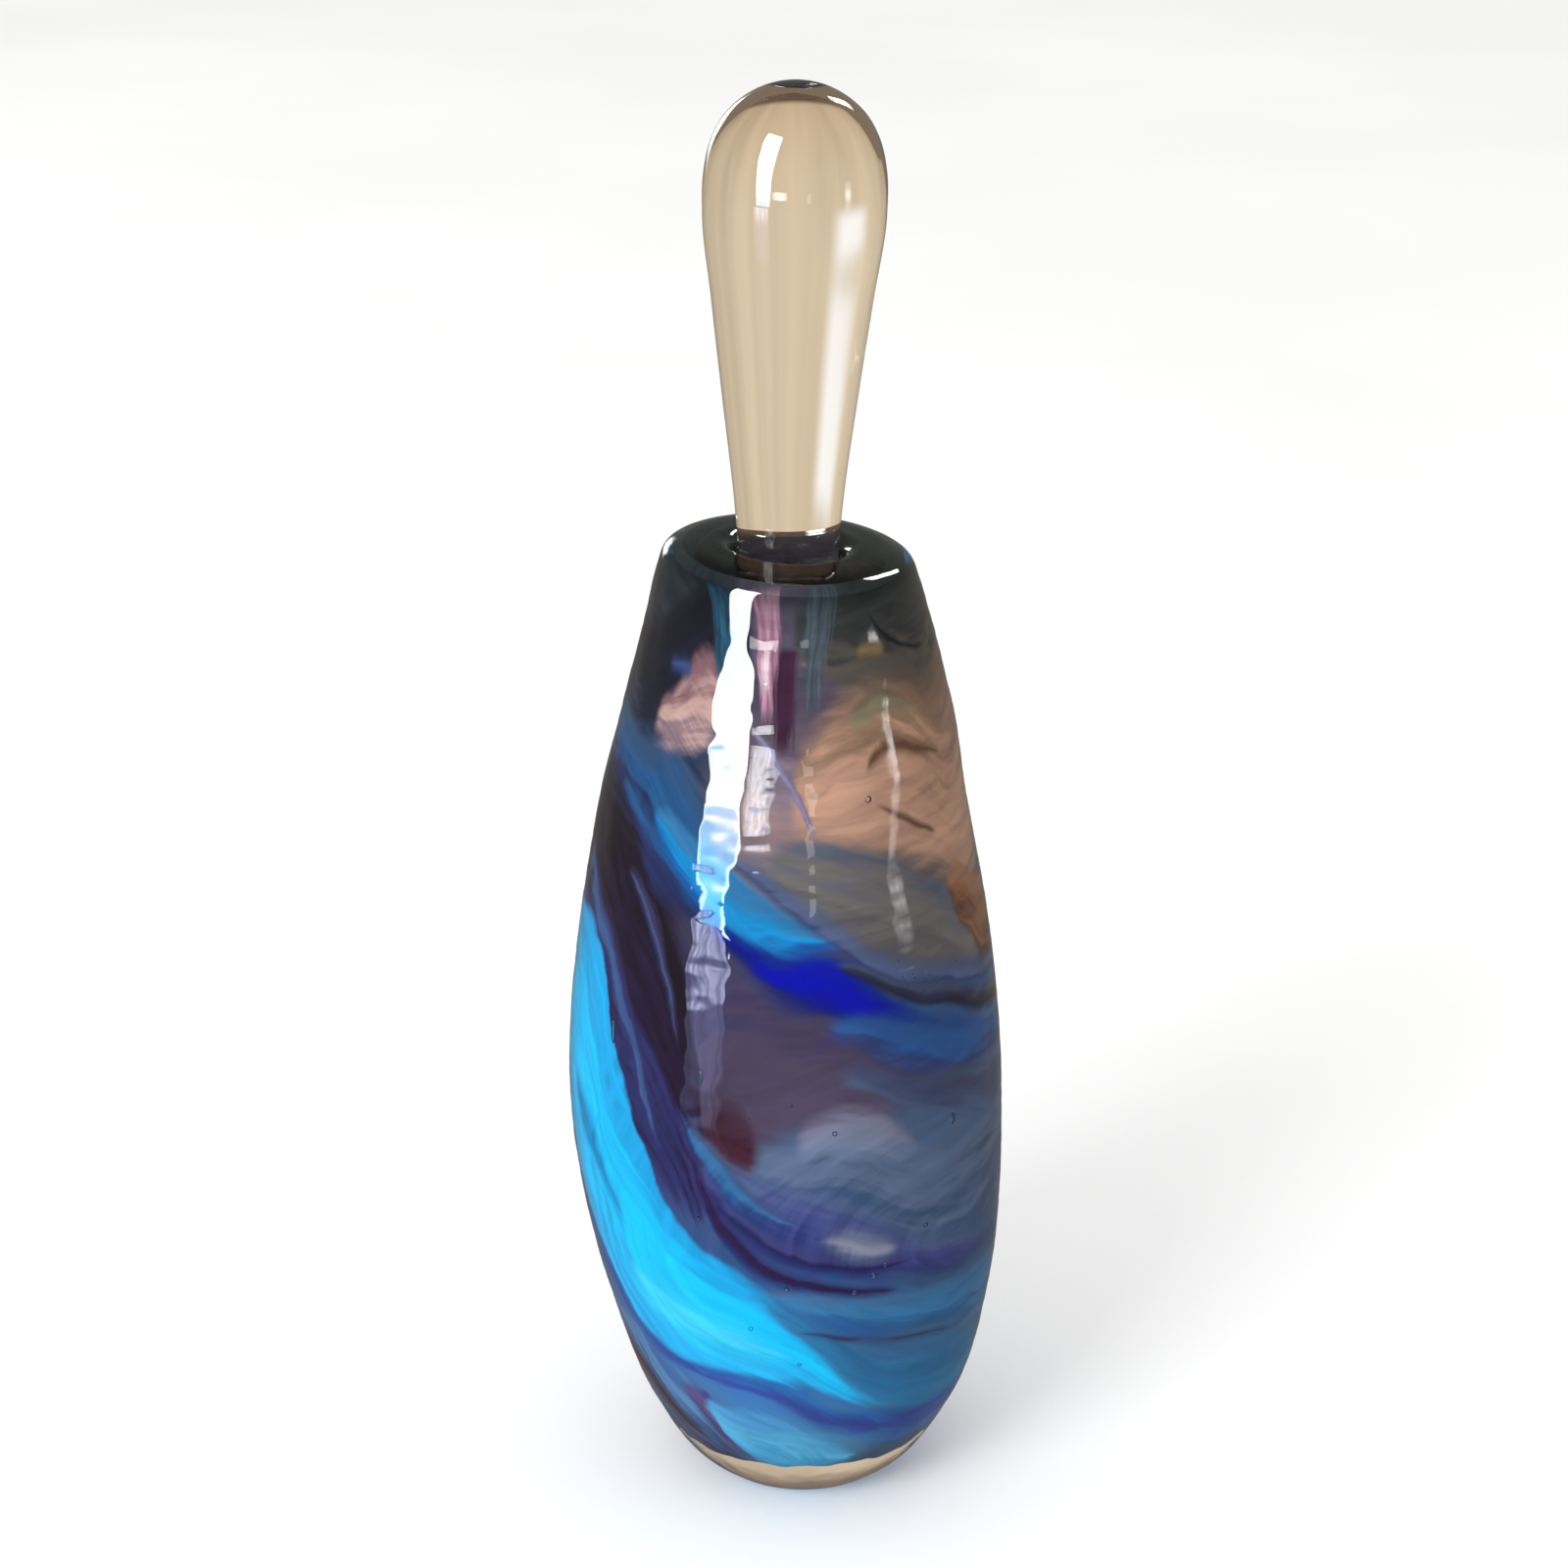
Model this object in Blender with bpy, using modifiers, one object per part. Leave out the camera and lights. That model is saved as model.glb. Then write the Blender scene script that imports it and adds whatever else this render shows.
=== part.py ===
"""Blown-glass scent bottle with a teardrop glass stopper. Metres, +Z up.

The origin is the centre of the ground flat that the bottle stands on. The bottle is layered as
it is made at the furnace: an inner bubble, twisted streaks of coloured glass laid over it, and
a thick casing of clear glass. The stopper is a solid head, a ground plug and a drawn dauber.
"""

import math

import bpy
from mathutils import Vector

# Driving dimensions
TOTAL_HEIGHT = 0.178
BORE_RADIUS = 0.0062
FLAT_RADIUS = 0.0121
WIDEST_RADIUS = 0.0271
BASE_THICKNESS = 0.0052
BUBBLE_RADIUS = 0.0210
GAP = 0.0003
STREAK_THICKNESS = 0.0012
LINER_WALL = 0.0026
STREAK_COUNT = 8
STREAK_TWIST = math.radians(330)
STREAK_TOP = 0.116
LIP_TILT = 0.060
LIP_TILT_FROM = 0.108
LIP_TILT_OVER = 0.014
CASING_SEGMENTS = 36
LINER_SEGMENTS = 28
STOPPER_SEGMENTS = 28
STREAK_ACROSS = 4
BODY_SPACING = 0.0060
BUBBLE_SPACING = 0.0035
HEAD_SPACING = 0.0050

# Outlines, as (radius, height) points that a smooth line runs through
BODY_OUTLINE = (
    (FLAT_RADIUS, 0.0),
    (0.0145, 0.0020),
    (0.0198, 0.0100),
    (0.0246, 0.0260),
    (WIDEST_RADIUS, 0.0500),
    (0.0259, 0.0700),
    (0.0229, 0.0885),
    (0.0197, 0.1040),
    (0.0170, 0.1146),
    (0.0157, 0.1196),
    (0.0149, 0.1218),
    (0.0130, 0.1229),
    (0.0078, 0.1231),
)
BUBBLE_OUTLINE = (
    (0.0, BASE_THICKNESS),
    (0.0090, 0.0066),
    (0.0150, 0.0120),
    (0.0194, 0.0260),
    (BUBBLE_RADIUS, 0.0450),
    (0.0190, 0.0680),
    (0.0150, 0.0860),
    (0.0122, 0.1010),
    (0.0105, 0.1100),
    (0.0092, 0.1165),
    (0.0075, 0.1222),
)
HEAD_OUTLINE = (
    (0.0, TOTAL_HEIGHT),
    (0.0032, 0.1775),
    (0.0060, 0.1761),
    (0.0082, 0.1740),
    (0.0097, 0.1712),
    (0.0105, 0.1675),
    (0.0106, 0.1630),
    (0.0094, 0.1530),
    (0.0079, 0.1410),
    (0.0065, 0.1290),
    (0.0059, 0.1216),
)

# Heights inside the neck, and the stopper's ground taper and dauber
SEAT_BOTTOM = 0.1050
RIM_HEIGHT = 0.1226
RESERVOIR_TOP = 0.1020
PLUG_TOP = 0.1212
PLUG_BOTTOM = 0.1045
PLUG_TOP_RADIUS = 0.0059
PLUG_BOTTOM_RADIUS = 0.0051
DAUBER_RADIUS = 0.0021
DAUBER_TIP_RADIUS = 0.0029
DAUBER_TIP_HEIGHT = 0.0480

# The line through the middle of the bottle, as (height, x): the foot stands a little to one side
CENTRE_LINE = ((0.010, 0.0), (0.058, -0.0023), (0.090, -0.0025), (0.104, -0.0019))
MOUTH_X = CENTRE_LINE[-1][1]
HEAD_LEAN = 0.0008

STREAKS = (
    ("turquoise_streak", (0.02, 0.52, 0.85)),
    ("aubergine_streak", (0.10, 0.02, 0.09)),
    ("cobalt_streak", (0.01, 0.04, 0.55)),
    ("sky_streak", (0.05, 0.38, 0.72)),
    ("smoke_streak", (0.10, 0.08, 0.07)),
    ("violet_streak", (0.08, 0.07, 0.35)),
    ("copper_streak", (0.42, 0.20, 0.12)),
    ("indigo_streak", (0.02, 0.03, 0.16)),
)


def clear_scene():
    for thing in list(bpy.data.objects):
        bpy.data.objects.remove(thing, do_unlink=True)


def collection_named(name):
    collection = bpy.data.collections.new(name)
    bpy.context.scene.collection.children.link(collection)
    return collection


def glass(name, colour, alpha=1.0, roughness=0.05):
    """A Principled glass colour; clear pieces also let light through."""
    material = bpy.data.materials.new(name)
    material.use_nodes = True
    shader = material.node_tree.nodes["Principled BSDF"]
    shader.inputs["Base Color"].default_value = (*colour, 1.0)
    shader.inputs["Roughness"].default_value = roughness
    shader.inputs["Metallic"].default_value = 0.0
    shader.inputs["IOR"].default_value = 1.5
    shader.inputs["Alpha"].default_value = alpha
    return material


def ease(value):
    """Smooth step from 0 to 1."""
    value = min(max(value, 0.0), 1.0)
    return value * value * (3 - 2 * value)


def smooth_line(knots, spacing):
    """Points of a cubic through every knot, no further apart than the spacing."""
    knots = [Vector(knot) for knot in knots]
    before = knots[0] * 2 - knots[1]
    after = knots[-1] * 2 - knots[-2]
    chain = [before, *knots, after]
    points = [knots[0]]
    for index in range(len(knots) - 1):
        p0, p1, p2, p3 = chain[index : index + 4]
        span = (p2 - p1).length
        start = slope_at(p0, p1, p2) * span
        end = slope_at(p1, p2, p3) * span
        steps = math.ceil(span / spacing)
        for step in range(1, steps + 1):
            t = step / steps
            a = (2 * t**3 - 3 * t**2 + 1) * p1
            b = (t**3 - 2 * t**2 + t) * start
            c = (3 * t**2 - 2 * t**3) * p2
            d = (t**3 - t**2) * end
            points.append(a + b + c + d)
    return points


def slope_at(before, point, after):
    """The outline's direction at a point, weighted towards the nearer neighbour."""
    back = (point - before).length
    ahead = (after - point).length
    return ((point - before) / back * ahead + (after - point) / ahead * back) / (back + ahead)


def offset_inward(points, distance):
    """An outline that runs upwards, moved towards the axis along its own normals."""
    moved = []
    for index, point in enumerate(points):
        ahead = points[min(index + 1, len(points) - 1)]
        behind = points[max(index - 1, 0)]
        along = (ahead - behind).normalized()
        if point.x < 1e-6:
            along = Vector((1.0, 0.0))
        moved.append(Vector((max(point.x - along.y * distance, 0.0), point.y + along.x * distance)))
    return moved


def turned(name, outline, segments, angle=2 * math.pi):
    """A mesh turned round Z from an outline that runs down its outer side."""
    line = bpy.data.meshes.new("outline")
    edges = [(index, index + 1) for index in range(len(outline) - 1)]
    line.from_pydata([(point[0], 0.0, point[1]) for point in outline], edges, [])
    source = bpy.data.objects.new("outline", line)
    bpy.context.scene.collection.objects.link(source)
    screw = source.modifiers.new("turn", "SCREW")
    screw.angle = angle
    screw.steps = segments
    screw.render_steps = segments
    screw.use_merge_vertices = True
    screw.merge_threshold = 0.00001
    screw.use_smooth_shade = True
    graph = bpy.context.evaluated_depsgraph_get()
    made = bpy.data.meshes.new_from_object(source.evaluated_get(graph))
    made.name = name
    bpy.data.objects.remove(source, do_unlink=True)
    bpy.data.meshes.remove(line)
    return made


def centre_at(height):
    """How far the bottle's middle stands from the origin at a height."""
    offset = CENTRE_LINE[0][1]
    for (low, before), (high, after) in zip(CENTRE_LINE, CENTRE_LINE[1:]):
        offset += (after - before) * ease((height - low) / (high - low))
    return offset


def hand_formed(mesh):
    """Gives a turned mesh the bottle's wandering axis and the slight tilt of its lip."""
    for vertex in mesh.vertices:
        point = vertex.co
        tilt = LIP_TILT * ease((point.z - LIP_TILT_FROM) / LIP_TILT_OVER)
        side = point.x
        point.x += centre_at(point.z)
        point.z -= side * tilt


def placed(mesh, collection, material, parent=None):
    """Puts a mesh in the scene as one named, smooth-shaded piece."""
    piece = bpy.data.objects.new(mesh.name, mesh)
    mesh.materials.clear()
    mesh.materials.append(material)
    mesh.shade_smooth()
    mesh.set_sharp_from_angle(angle=math.radians(40))
    collection.objects.link(piece)
    piece.parent = parent
    return piece


def clear_casing(collection):
    """The outer gather: the whole outside of the bottle, open at the mouth."""
    cavity = smooth_line(BUBBLE_OUTLINE, BUBBLE_SPACING)
    outside = smooth_line(BODY_OUTLINE, BODY_SPACING)
    outline = [*cavity, *reversed(outside), Vector((0.0, 0.0))]
    mesh = turned("clear_casing", outline, CASING_SEGMENTS)
    hand_formed(mesh)
    placed(mesh, collection, glass("clear glass", (0.80, 0.82, 0.80), alpha=0.35))


def inner_bubble(collection):
    """The first gather, blown hollow: the reservoir, and the neck with its ground seat."""
    bubble = [point for point in smooth_line(BUBBLE_OUTLINE, BUBBLE_SPACING) if point.y <= STREAK_TOP]
    outside = offset_inward(bubble, 2 * GAP + STREAK_THICKNESS)
    neck = Vector((BUBBLE_OUTLINE[-1][0] - GAP, RIM_HEIGHT))
    hollow = offset_inward(bubble, 2 * GAP + STREAK_THICKNESS + LINER_WALL)
    reservoir = [point for point in hollow if point.y < RESERVOIR_TOP]
    seat_bottom = Vector((PLUG_BOTTOM_RADIUS + GAP, SEAT_BOTTOM))
    seat_top = Vector((BORE_RADIUS, RIM_HEIGHT))
    outline = [*reservoir, seat_bottom, seat_top, neck, *reversed(outside)]
    mesh = turned("inner_bubble", outline, LINER_SEGMENTS)
    hand_formed(mesh)
    placed(mesh, collection, glass("smoked glass", (0.30, 0.30, 0.29), alpha=0.6))


def colour_streak(collection, index, name, colour):
    """One ribbon of coloured glass, wound round the bubble from the neck to the foot."""
    share = 2 * math.pi / STREAK_COUNT
    bubble = [point for point in smooth_line(BUBBLE_OUTLINE, BUBBLE_SPACING) if point.y <= STREAK_TOP]
    ribbon = offset_inward(bubble, GAP)[2:]
    foot = ribbon[0].y
    mesh = turned(name, list(reversed(ribbon)), STREAK_ACROSS, angle=share)
    for vertex in mesh.vertices:
        point = vertex.co
        radius = math.hypot(point.x, point.y)
        across = math.atan2(point.y, point.x) / share - 0.5
        twist = STREAK_TWIST * ease((STREAK_TOP - point.z) / (STREAK_TOP - foot))
        angle = across * (share - GAP / radius) + index * share + twist
        point.x = radius * math.cos(angle)
        point.y = radius * math.sin(angle)
    hand_formed(mesh)
    piece = placed(mesh, collection, glass(name.replace("_", " "), colour))
    solid = piece.modifiers.new("thickness", "SOLIDIFY")
    solid.thickness = STREAK_THICKNESS
    solid.offset = -1
    solid.use_even_offset = True
    split = piece.modifiers.new("split", "TRIANGULATE")
    split.quad_method = "SHORTEST_DIAGONAL"


def leaning_head(mesh):
    """Moves the stopper's head sideways with height, as it came off the iron."""
    foot = HEAD_OUTLINE[-1][1]
    for vertex in mesh.vertices:
        vertex.co.x += HEAD_LEAN * ease((vertex.co.z - foot) / (TOTAL_HEIGHT - foot))


def stopper(collection):
    """The head, the ground plug and the dauber, all on the lift axis."""
    axis = bpy.data.objects.new("stopper_axis", None)
    axis.location = (MOUTH_X, 0.0, 0.0)
    collection.objects.link(axis)
    clear = glass("stopper glass", (0.82, 0.76, 0.64), alpha=0.35)
    ground = glass("ground glass", (0.75, 0.75, 0.72), alpha=0.6, roughness=0.5)

    head = [*smooth_line(HEAD_OUTLINE, HEAD_SPACING), Vector((0.0, HEAD_OUTLINE[-1][1]))]
    head_mesh = turned("stopper_head", head, STOPPER_SEGMENTS)
    leaning_head(head_mesh)
    placed(head_mesh, collection, clear, axis)

    plug = [(0.0, PLUG_TOP), (PLUG_TOP_RADIUS, PLUG_TOP)]
    plug += [(PLUG_BOTTOM_RADIUS, PLUG_BOTTOM), (0.0, PLUG_BOTTOM)]
    placed(turned("ground_plug", plug, STOPPER_SEGMENTS), collection, ground, axis)

    rod_top = PLUG_BOTTOM - GAP
    bulb = DAUBER_TIP_RADIUS
    rod = [Vector((0.0, rod_top)), Vector((DAUBER_RADIUS, rod_top))]
    bulb_centre = DAUBER_TIP_HEIGHT + bulb
    blend = Vector((DAUBER_RADIUS, bulb_centre + 3 * bulb))
    rod.append(blend)
    for step in range(6):
        angle = step * math.pi / 10
        rod.append(Vector((bulb * math.cos(angle), bulb_centre - bulb * math.sin(angle))))
    rod[-1].x = 0.0
    placed(turned("dauber", rod, STOPPER_SEGMENTS // 2), collection, clear, axis)


def main():
    clear_scene()
    collection = collection_named("scent_bottle")
    clear_casing(collection)
    inner_bubble(collection)
    for index, (name, colour) in enumerate(STREAKS):
        colour_streak(collection, index, name, colour)
    stopper(collection)


main()
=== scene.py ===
"""Looks of the blown-glass scent bottle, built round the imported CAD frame. Metres, +Z up.

The bottle is one clear solid, as fused glass is, with a ground seat and a blown hollow inside it.
Eight ribbons of dense colour lie within its wall, and one painted swirl runs over all of them.
The stopper is one solid too: its head, its ground plug and its dauber.
"""

import math

import bpy
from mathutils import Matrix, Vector, noise


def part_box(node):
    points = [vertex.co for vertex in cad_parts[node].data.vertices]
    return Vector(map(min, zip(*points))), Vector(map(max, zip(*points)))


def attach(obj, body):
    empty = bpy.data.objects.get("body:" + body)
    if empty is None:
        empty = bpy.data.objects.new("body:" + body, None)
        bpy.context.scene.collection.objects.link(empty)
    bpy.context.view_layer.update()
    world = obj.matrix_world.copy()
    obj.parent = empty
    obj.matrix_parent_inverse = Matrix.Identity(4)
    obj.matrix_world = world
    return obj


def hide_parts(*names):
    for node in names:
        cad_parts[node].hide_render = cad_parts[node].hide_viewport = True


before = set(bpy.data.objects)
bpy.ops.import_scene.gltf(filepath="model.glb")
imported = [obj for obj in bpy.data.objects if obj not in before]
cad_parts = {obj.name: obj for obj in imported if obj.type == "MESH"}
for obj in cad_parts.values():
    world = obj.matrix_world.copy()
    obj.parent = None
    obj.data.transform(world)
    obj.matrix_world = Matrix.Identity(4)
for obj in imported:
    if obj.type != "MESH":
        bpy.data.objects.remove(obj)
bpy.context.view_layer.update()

MM = 0.001
CASING_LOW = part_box("clear_casing")[0]
HEAD_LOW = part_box("stopper_head")[0]

# Lengths are in millimetres from here to the surroundings. A radius under ON_AXIS counts as none.
ON_AXIS = 0.001
# Outlines are (radius, height) pairs.
BODY_OUTLINE = (
    (12.1, 0.0), (14.5, 2.0), (19.8, 10.0), (24.6, 26.0), (27.1, 50.0), (25.9, 70.0), (22.9, 88.5),
    (19.7, 104.0), (17.0, 114.6), (15.7, 119.6), (14.6, 122.0), (12.6, 122.9), (9.6, 123.2),
    (7.6, 123.1), (6.7, 122.4), (6.2, 121.0),
)
BUBBLE_OUTLINE = (
    (0.0, 5.2), (9.0, 6.6), (15.0, 12.0), (19.4, 26.0), (21.0, 45.0), (19.0, 68.0), (15.0, 86.0),
    (12.2, 101.0), (10.5, 110.0), (9.2, 116.5), (7.9, 120.6),
)
# The colour stands far enough out that the glass carries it to the outline's edge.
COLOUR_OUTLINE = (
    *BUBBLE_OUTLINE[:6], (16.2, 86.0), (14.2, 101.0), (13.0, 108.5), (12.2, 113.5), (12.0, 117.0),
    (12.5, 119.4), (13.5, 120.7),
)
STOPPER_OUTLINE = (
    (0.0, 178.0), (3.2, 177.5), (6.0, 176.1), (8.2, 174.0), (9.7, 171.2), (10.5, 167.5),
    (10.6, 163.0), (9.4, 153.0), (7.9, 141.0), (6.5, 129.0), (5.9, 121.6), (5.5, 113.0),
    (5.15, 105.6), (4.6, 104.5), (3.0, 103.6), (2.15, 101.5), (2.1, 96.0), (2.1, 62.0),
    (2.5, 55.0), (2.9, 51.0), (2.3, 49.0), (0.0, 48.0),
)
# A ring on the flat foot, between its middle and its rim
FOOT_RING = 6.0
SEAT_TOP = 121.0
SEAT_TOP_RADIUS = 6.2
SEAT_BOTTOM = 105.0
SEAT_BOTTOM_RADIUS = 5.4
RESERVOIR_TOP = 102.0
RESERVOIR_DEPTH = 4.4
STREAK_DEPTH = 0.3
STREAK_THICKNESS = 1.2
STREAK_TOP = 120.7
STREAK_FOOT = 6.0
STREAK_TWIST = math.radians(330)
# The ribbons leave the bubble's foot open, to these radii on their outer and inner faces.
STREAK_EYE = (2.0, 1.5)
# Where the bottle's middle stands: (height, offset along X)
CENTRE_LINE = ((10.0, 0.0), (58.0, -2.3), (90.0, -2.5), (104.0, -1.9))
MOUTH_X = CENTRE_LINE[-1][1]
LIP_TILT = 0.060
LIP_TILT_FROM = 108.0
LIP_TILT_OVER = 14.0
HEAD_LEAN = 0.8

GLASS_STEP = 0.6
HOLLOW_STEP = 1.2
GLASS_SEGMENTS = 216
STOPPER_SEGMENTS = 96
STREAK_ACROSS = 14
SHARP_FROM = math.radians(50)

STREAKS = ("turquoise", "aubergine", "cobalt", "sky", "smoke", "violet", "copper", "indigo")

# Waves in hand-worked glass: (swell, length round the wall, length up the wall, place in the noise)
BOTTLE_WAVES = (
    (0.13, 9.0, 24.0, 0.0), (0.10, 4.5, 10.0, 20.0), (0.040, 2.4, 4.0, 40.0),
    (0.05, 2.2, 1.0, 60.0),
)
STOPPER_WAVES = ((0.020, 1.7, 38.0, 0.0), (0.10, 7.0, 26.0, 9.0))
# The bottle's waves are sunk this far, so its swells stay inside the CAD's outline.
SUNK = 0.08
# The bottle's waves run between these heights, outside this radius, and die out at both ends.
WAVY_LOW = 1.0
WAVY_HIGH = 122.0
WAVY_OUTSIDE = 12.3
WAVY_LOW_FADE = 6.0
WAVY_HIGH_FADE = 4.0
# The stopper's waves run along its head, and die out at its foot and its top over these heights.
HEAD_FOOT_FADE = 12.0
HEAD_TOP_FADE = 6.0

# Shapes


def ease(value):
    """Smooth step from 0 to 1."""
    value = min(max(value, 0.0), 1.0)
    return value * value * (3 - 2 * value)


def slope_at(before, point, after):
    """The outline's direction at a point, weighted towards the nearer neighbour."""
    back = (point - before).length
    ahead = (after - point).length
    return ((point - before) / back * ahead + (after - point) / ahead * back) / (back + ahead)


def smooth_line(knots, spacing):
    """Points of a cubic through every knot, no further apart than the spacing, level at the axis."""
    knots = [Vector(knot) for knot in knots]
    first = knots[0] * 2 - knots[1]
    if knots[0].x == 0:
        first = Vector((-knots[1].x, knots[1].y))
    chain = [first, *knots, knots[-1] * 2 - knots[-2]]
    points = [knots[0]]
    for index in range(len(knots) - 1):
        p0, p1, p2, p3 = chain[index : index + 4]
        span = (p2 - p1).length
        start = slope_at(p0, p1, p2) * span
        end = slope_at(p1, p2, p3) * span
        steps = math.ceil(span / spacing)
        for step in range(1, steps + 1):
            t = step / steps
            a = (2 * t**3 - 3 * t**2 + 1) * p1
            b = (t**3 - 2 * t**2 + t) * start
            c = (3 * t**2 - 2 * t**3) * p2
            d = (t**3 - t**2) * end
            points.append(a + b + c + d)
    return points


def offset_inward(points, distance):
    """An outline that runs upwards, moved towards the axis along its own normals."""
    moved = []
    for index, point in enumerate(points):
        ahead = points[min(index + 1, len(points) - 1)]
        behind = points[max(index - 1, 0)]
        along = (ahead - behind).normalized()
        if point.x < ON_AXIS:
            along = Vector((1.0, 0.0))
        moved.append(Vector((max(point.x - along.y * distance, 0.0), point.y + along.x * distance)))
    return moved


def centre_at(height):
    """How far the bottle's middle stands from the origin at a height."""
    offset = CENTRE_LINE[0][1]
    for (low, before), (high, after) in zip(CENTRE_LINE, CENTRE_LINE[1:]):
        offset += (after - before) * ease((height - low) / (high - low))
    return offset


def hand_formed(point):
    """A point of the bottle moved to its wandering axis and its tilted lip."""
    tilt = LIP_TILT * ease((point.z - LIP_TILT_FROM) / LIP_TILT_OVER)
    return Vector((point.x + centre_at(point.z), point.y, point.z - point.x * tilt))


def turned(outline, segments, first=0):
    """Vertices and faces of an outline turned round Z. Ends on the axis become poles."""
    points = []
    rings = []
    for radius, height in outline:
        if radius < ON_AXIS:
            rings.append([first + len(points)] * segments)
            points.append(Vector((0.0, 0.0, height)))
            continue
        rings.append([first + len(points) + step for step in range(segments)])
        for step in range(segments):
            angle = 2 * math.pi * step / segments
            points.append(Vector((radius * math.cos(angle), radius * math.sin(angle), height)))
    faces = []
    for low, high in zip(rings, rings[1:]):
        for step in range(segments):
            after = (step + 1) % segments
            corners = [low[step], low[after], high[after], high[step]]
            faces.append([c for i, c in enumerate(corners) if c not in corners[:i]])
    return points, faces


def piece_from(name, points, faces, material, body, nodes):
    """A smooth piece that rides on a body and stands for CAD nodes. Points are in millimetres."""
    mesh = bpy.data.meshes.new(name)
    mesh.from_pydata([point * MM for point in points], [], faces)
    mesh.materials.append(material)
    mesh.shade_smooth()
    mesh.set_sharp_from_angle(angle=SHARP_FROM)
    piece = bpy.data.objects.new(name, mesh)
    bpy.context.scene.collection.objects.link(piece)
    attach(piece, body)
    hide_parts(*nodes)
    return piece


def swell(point, waves):
    """How far the waves carry a point outwards, or inwards where it is negative."""
    total = 0.0
    for size, across, along, place in waves:
        spot = Vector((point.x / across, point.y / across, point.z / along + place))
        total += size * noise.noise(spot)
    return total


def grown(point, distance):
    """A point moved away from the axis by a distance."""
    share = 1 + distance / math.hypot(point.x, point.y)
    return Vector((point.x * share, point.y * share, point.z))


def bottle_points():
    """The clear bottle as one closed solid: foot, outside, lip, ground seat and hollow."""
    outside = smooth_line(BODY_OUTLINE, GLASS_STEP)
    bubble = smooth_line(BUBBLE_OUTLINE, HOLLOW_STEP)
    seat = smooth_line(((SEAT_TOP_RADIUS, SEAT_TOP), (SEAT_BOTTOM_RADIUS, SEAT_BOTTOM)), GLASS_STEP)[1:]
    hollow = [p for p in offset_inward(bubble, RESERVOIR_DEPTH) if p.y < RESERVOIR_TOP]
    outline = [Vector((0.0, 0.0)), Vector((FOOT_RING, 0.0)), *outside, *seat, *reversed(hollow)]
    points, faces = turned(outline, GLASS_SEGMENTS)
    made = []
    for point in points:
        if math.hypot(point.x, point.y) > WAVY_OUTSIDE and WAVY_LOW < point.z < WAVY_HIGH:
            rise = ease((point.z - WAVY_LOW) / WAVY_LOW_FADE)
            fall = ease((WAVY_HIGH - point.z) / WAVY_HIGH_FADE)
            point = grown(point, (swell(point, BOTTLE_WAVES) - SUNK) * (rise * fall))
        made.append(hand_formed(point))
    return made, faces


# Seed bubbles in the clear gather: (degrees round from the front, height, depth, half width,
# half height)
SEEDS = (
    (30, 97, 3.0, 0.45, 0.45),
    (-24, 64, 2.6, 0.50, 1.00),
    (-55, 66, 2.2, 0.42, 1.60),
    (52, 55, 2.4, 0.45, 0.80),
    (14, 57, 3.4, 0.30, 0.30),
    (2, 61, 3.0, 0.16, 0.16),
    (-10, 59, 3.6, 0.14, 0.14),
    (24, 37, 3.0, 0.40, 0.40),
    (28, 38, 3.6, 0.30, 0.30),
    (18, 35, 3.2, 0.30, 0.30),
    (-2, 36, 3.6, 0.28, 0.28),
    (0, 25, 2.8, 0.28, 0.28),
    (-14, 30, 3.2, 0.30, 0.30),
    (42, 42, 3.0, 0.32, 0.32),
    (-26, 45, 3.2, 0.26, 0.30),
    (120, 70, 2.4, 0.45, 0.90),
    (150, 48, 2.8, 0.40, 0.60),
    (-130, 58, 2.6, 0.45, 1.10),
    (-160, 84, 2.8, 0.35, 0.50),
    (175, 30, 3.0, 0.40, 0.40),
    (100, 90, 2.6, 0.30, 0.40),
)
# A cloud of specks, spread by noise about a place: (degrees, height, depth)
SPECK_COUNT = 26
SPECK_STRIDE = 7.3
SPECK_DRAW = (4.1, 2.7)
SPECK_PLACE = (46, 74, 3.2)
SPECK_SPREAD = (26, 5, 1)
SPECK_SIZE = (0.09, 0.10)
SEED_SEGMENTS = 14
SEED_RINGS = 8


def radius_at(outline, height):
    """The outline's radius at a height, between its knots."""
    for (r0, z0), (r1, z1) in zip(outline, outline[1:]):
        if z0 <= height <= z1:
            return r0 + (r1 - r0) * (height - z0) / (z1 - z0)
    return outline[-1][0]


def add_seed(points, faces, degrees, height, depth, wide, tall):
    """Adds an ellipsoid turned inside out, which is a bubble of air within the glass."""
    reach = radius_at(BODY_OUTLINE, height) - depth
    angle = math.radians(degrees)
    centre = hand_formed(Vector((reach * math.sin(angle), -reach * math.cos(angle), height)))
    outline = []
    for ring in range(SEED_RINGS + 1):
        turn = math.pi * ring / SEED_RINGS
        outline.append((wide * math.sin(turn) * (0 < ring < SEED_RINGS), tall * math.cos(turn)))
    made, sides = turned(outline, SEED_SEGMENTS, len(points))
    points.extend(point + centre for point in made)
    faces.extend(sides)


def clear_bottle(material):
    """The bottle's clear solid, with its seed bubbles."""
    points, faces = bottle_points()
    for seed in SEEDS:
        add_seed(points, faces, *seed)
    for index in range(SPECK_COUNT):
        draw = noise.noise_vector(Vector((index * SPECK_STRIDE, *SPECK_DRAW)))
        spot = [place + spread * d for place, spread, d in zip(SPECK_PLACE, SPECK_SPREAD, draw)]
        add_seed(points, faces, *spot, *SPECK_SIZE)
    nodes = ("clear_casing", "inner_bubble")
    piece_from("bottle_glass", points, faces, material, "bottle", nodes)


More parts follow.
